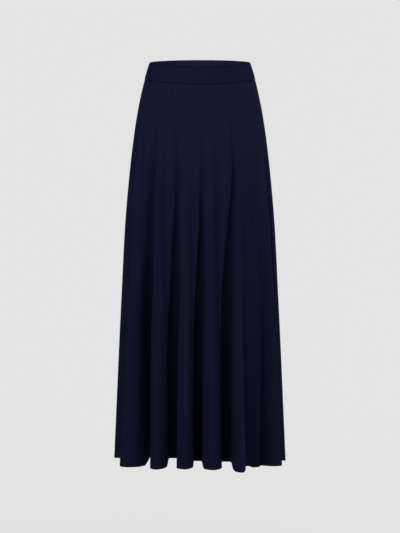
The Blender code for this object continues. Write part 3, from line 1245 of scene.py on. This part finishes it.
@dataclass
class HemStitching:
    """The row of small straight stitches that holds the turned hem, on every gore.

    shortest and longest are how many times its own size a stitch may be.
    """

    finish: ThreadFinish
    pitch: float = 0.0062
    length: float = 0.0014
    thread: float = 0.00024
    shortest: float = 0.88
    longest: float = 1.08
    seed: int = 7

    def tree(self) -> tuple[bpy.types.GeometryNodeTree, dict[str, str]]:
        """Make the modifier that lays stitches along a line.

        Returns:
            The tree, and the identifiers of its inputs by name.
        """
        group = bpy.data.node_groups.new("stitches_along_a_line", "GeometryNodeTree")
        tree = Tree(group)
        face = group.interface
        face.new_socket("Line", in_out="INPUT", socket_type="NodeSocketGeometry")
        names = {}
        for name, kind, value in (
            ("Pitch", "NodeSocketFloat", self.pitch),
            ("Length", "NodeSocketFloat", self.length),
            ("Thread", "NodeSocketFloat", self.thread),
            ("Seed", "NodeSocketInt", self.seed),
            ("Finish", "NodeSocketMaterial", None),
        ):
            socket = face.new_socket(name, in_out="INPUT", socket_type=kind)
            if value is not None:
                socket.default_value = value
            names[name] = socket.identifier
        face.new_socket("Stitches", in_out="OUTPUT", socket_type="NodeSocketGeometry")
        start = tree.node("NodeGroupInput")
        line = tree.node("GeometryNodeMeshToCurve", {}, {"Mesh": start.outputs["Line"]})
        spaced = tree.node(
            "GeometryNodeResampleCurve",
            {"mode": "LENGTH"},
            {"Curve": line.outputs[0], "Length": start.outputs["Pitch"]},
        )
        # The ball is one unit across, so its scale is the size of the stitch.
        ball = tree.node("GeometryNodeMeshIcoSphere", {}, {"Radius": 0.5, "Subdivisions": 1})
        size = tree.node(
            "ShaderNodeCombineXYZ",
            {},
            {0: start.outputs["Length"], 1: start.outputs["Thread"], 2: start.outputs["Thread"]},
        )
        way = tree.node("GeometryNodeInputTangent")
        turn = tree.node("FunctionNodeAlignRotationToVector", {"axis": "X"}, {"Vector": way.outputs[0]})
        uneven = tree.node(
            "FunctionNodeRandomValue",
            {"data_type": "FLOAT"},
            {2: self.shortest, 3: self.longest, "Seed": start.outputs["Seed"]},
        )
        sized = tree.node(
            "ShaderNodeVectorMath", {"operation": "SCALE"}, {0: size.outputs[0], "Scale": uneven.outputs[1]}
        )
        laid = tree.node(
            "GeometryNodeInstanceOnPoints",
            {},
            {
                "Points": spaced.outputs[0],
                "Instance": ball.outputs[0],
                "Rotation": turn.outputs[0],
                "Scale": sized.outputs[0],
            },
        )
        real = tree.node("GeometryNodeRealizeInstances", {}, {0: laid.outputs[0]})
        dressed = tree.node(
            "GeometryNodeSetMaterial", {}, {"Geometry": real.outputs[0], "Material": start.outputs["Finish"]}
        )
        tree.node("NodeGroupOutput", {}, {0: dressed.outputs[0]})
        return group, names

    def build(
        self, lines: Iterable[tuple[str, Array]], home: bpy.types.Collection
    ) -> list[bpy.types.Object]:
        """Stitch along each line.

        Args:
            lines: a name and its points for each run of stitches.
            home: the collection that they go in.

        Returns:
            One plain mesh object for each line.
        """
        material = self.finish.material()
        group, names = self.tree()
        made = []
        for name, points in lines:
            mesh = bpy.data.meshes.new(name + "_line")
            mesh.from_pydata(points.tolist(), [(i, i + 1) for i in range(len(points) - 1)], [])
            guide = bpy.data.objects.new(name + "_line", mesh)
            home.objects.link(guide)
            modifier = guide.modifiers.new("stitches", "NODES")
            modifier.node_group = group
            modifier[names["Finish"]] = material
            evaluated = guide.evaluated_get(bpy.context.evaluated_depsgraph_get())
            stitches = bpy.data.meshes.new_from_object(evaluated)
            stitches.name = name
            guide.modifiers.clear()
            bpy.data.objects.remove(guide)
            stitches.shade_smooth()
            piece = bpy.data.objects.new(name, stitches)
            home.objects.link(piece)
            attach(piece, "root")
            made.append(piece)
            LOG.info("%s: %d faces", name, len(stitches.polygons))
        return made


# ------------------------------------------------------------------ the studio
@dataclass(frozen=True)
class Lamp:
    """A round soft lamp."""

    name: str
    place: Triple
    aim: Triple
    size: float
    power: float


@dataclass
class Studio:
    """A plain pale floor far below the hem, soft light, and the camera.

    sky says how bright the room is at heights of look, from 0 when level to 1 straight up: each
    row is the height, the grey, and how much of sky_lean it takes. sky_lean is how much brighter
    the wearer's left is than the middle, as a share.
    """

    floor_height: float = -1.25
    floor_radius: float = 70.0
    floor_sides: int = 64
    floor_grey: float = 0.80
    sky: tuple[Triple, ...] = (
        (0.00, 0.52, 0.0),
        (0.05, 0.52, 0.0),
        (0.12, 0.10, 1.0),
        (0.60, 0.36, 1.0),
        (0.85, 1.00, 1.0),
    )
    sky_strength: float = 1.55
    sky_lean: float = 0.95
    lamps: tuple[Lamp, ...] = (
        Lamp("key", (-0.58, -1.50, 0.90), (0.0, -0.1, -0.20), 1.0, 30.0),
        Lamp("side", (2.30, 0.75, 0.20), (0.1, 0.0, -0.45), 1.2, 22.0),
    )
    camera_distance: float = 10.0
    camera_height: float = 0.70
    aim: Triple = (0.0002, 0.0, -0.4545)
    view_height: float = 1.2419
    sensor: float = 36.0
    far_clip: float = 300.0

    def build(self, lit: bpy.types.Collection) -> None:
        """Set up the floor, the light and the camera.

        Args:
            lit: the collection that the lamps reach.
        """
        self._floor()
        self._sky()
        for lamp in self.lamps:
            self._lamp(lamp, lit)
        self._camera()

    def _floor(self) -> None:
        """Lay the floor."""
        mesh = bpy.data.meshes.new("floor")
        ring = [
            (self.floor_radius * math.cos(turn), self.floor_radius * math.sin(turn), self.floor_height)
            for turn in np.linspace(0, math.tau, self.floor_sides + 1)[:-1]
        ]
        mesh.from_pydata(ring, [], [list(range(len(ring)))])
        floor = bpy.data.objects.new("floor", mesh)
        bpy.context.scene.collection.objects.link(floor)
        paint, tree = blank_material("floor_paint")
        grey = (self.floor_grey, self.floor_grey, self.floor_grey, 1.0)
        tree.surface({"Base Color": grey, "Roughness": 1.0, "Specular IOR Level": 0.0})
        mesh.materials.append(paint)

    def _sky(self) -> None:
        """Light the room: even and pale at the horizon, dim above it, bright overhead and to the left."""
        world = bpy.data.worlds.new("room")
        world.use_nodes = True
        bpy.context.scene.world = world
        bpy.context.scene.view_settings.view_transform = "Standard"
        tree = Tree(world.node_tree)
        way = tree.node("ShaderNodeTexCoord")
        parts = tree.node("ShaderNodeSeparateXYZ", {}, {0: way.outputs["Generated"]})
        up, across = tree.number(parts, "Z"), tree.number(parts, "X")
        greys = [(place, (grey, grey, grey, 1.0)) for place, grey, _ in self.sky]
        grey = tree.node("ShaderNodeValToRGB", {"stops": greys}, {"Fac": up})
        leans = [(place, (lean, lean, lean, 1.0)) for place, _, lean in self.sky]
        lean = tree.node("ShaderNodeValToRGB", {"stops": leans}, {"Fac": up})
        strength = self.sky_strength * (1 + self.sky_lean * across * tree.number(lean, "Color"))
        light = tree.node("ShaderNodeBackground", {}, {"Color": grey.outputs[0], "Strength": strength})
        tree.node("ShaderNodeOutputWorld", {}, {"Surface": light.outputs[0]})

    def _lamp(self, lamp: Lamp, lit: bpy.types.Collection) -> None:
        """Hang one soft lamp that lights the skirt alone, so that the floor stays even."""
        data = bpy.data.lights.new(lamp.name, "AREA")
        data.shape = "DISK"
        data.size = lamp.size
        data.energy = lamp.power
        stand = bpy.data.objects.new(lamp.name, data)
        stand.location = lamp.place
        way = Vector(lamp.aim) - Vector(lamp.place)
        stand.rotation_euler = way.to_track_quat("-Z", "Y").to_euler()
        bpy.context.scene.collection.objects.link(stand)
        stand.light_linking.receiver_collection = lit

    def _camera(self) -> None:
        """Stand the camera a little above the waist, far off, looking down the skirt."""
        camera = bpy.data.cameras.new("camera")
        stand = bpy.data.objects.new("camera", camera)
        stand.location = (0.0, -self.camera_distance, self.camera_height)
        way = Vector(self.aim) - stand.location
        stand.rotation_euler = way.to_track_quat("-Z", "Y").to_euler()
        camera.sensor_width = self.sensor
        camera.lens = self.sensor * way.length / self.view_height
        camera.clip_end = self.far_clip
        bpy.context.scene.collection.objects.link(stand)
        bpy.context.scene.camera = stand


# ------------------------------------------------------------------ making it
@dataclass
class MaxiSkirt:
    """The whole skirt: its sizes and its three finishes."""

    cut: Cut = Cut()
    knit: KnitFinish = KnitFinish("navy_jersey", Slot.SKIRT)
    doubled_knit: KnitFinish = KnitFinish(
        "navy_band_jersey",
        Slot.BAND,
        colour=(0.0041, 0.0046, 0.0143),
        worn=(0.0058, 0.0064, 0.0192),
        # the band's inner face is paler still, as painted light inside the waist
        inside_painted_light=(0.0138, 0.0143, 0.0392),
        roughness=0.88,
    )
    thread: ThreadFinish = ThreadFinish("navy_thread", Slot.SKIRT)

    def build(self) -> bpy.types.Collection:
        """Build every piece.

        Returns:
            The collection that holds them.
        """
        home = bpy.data.collections.new("maxi_skirt")
        bpy.context.scene.collection.children.link(home)
        form = SkirtForm(self.cut)
        gores = Gores(self.cut, self.knit).build(form, home)
        band = Waistband(self.cut, self.doubled_knit).build(form, home)
        lines = [(piece.name.replace("_cloth", "_hem_stitches"), line) for piece, line, _ in gores]
        stitches = HemStitching(self.thread).build(lines, home)
        for (piece, _, face), row in zip(gores, stitches, strict=True):
            half = band[0] if piece.name.startswith("gore_front") else band[1]
            self.declare(piece, face, [row], [half[0].name])
        for piece, face in band:
            self.declare(piece, face, [], [])
        return home

    @staticmethod
    def declare(
        piece: bpy.types.Object, face: Array, trims: list[bpy.types.Object], holder: list[str]
    ) -> None:
        """Take a piece and do nothing with it.

        Args:
            piece: the piece; not used.
            face: its face as a grid; not used.
            trims: the pieces sewn on it; not used.
            holder: the names of the pieces that it hangs from; not used.
        """


def main() -> None:
    """Build the skirt and the studio, and note the sizes."""
    logging.basicConfig(level=logging.INFO, format="%(message)s")
    home = MaxiSkirt().build()
    Studio().build(home)


if __name__ == "__main__":
    main()
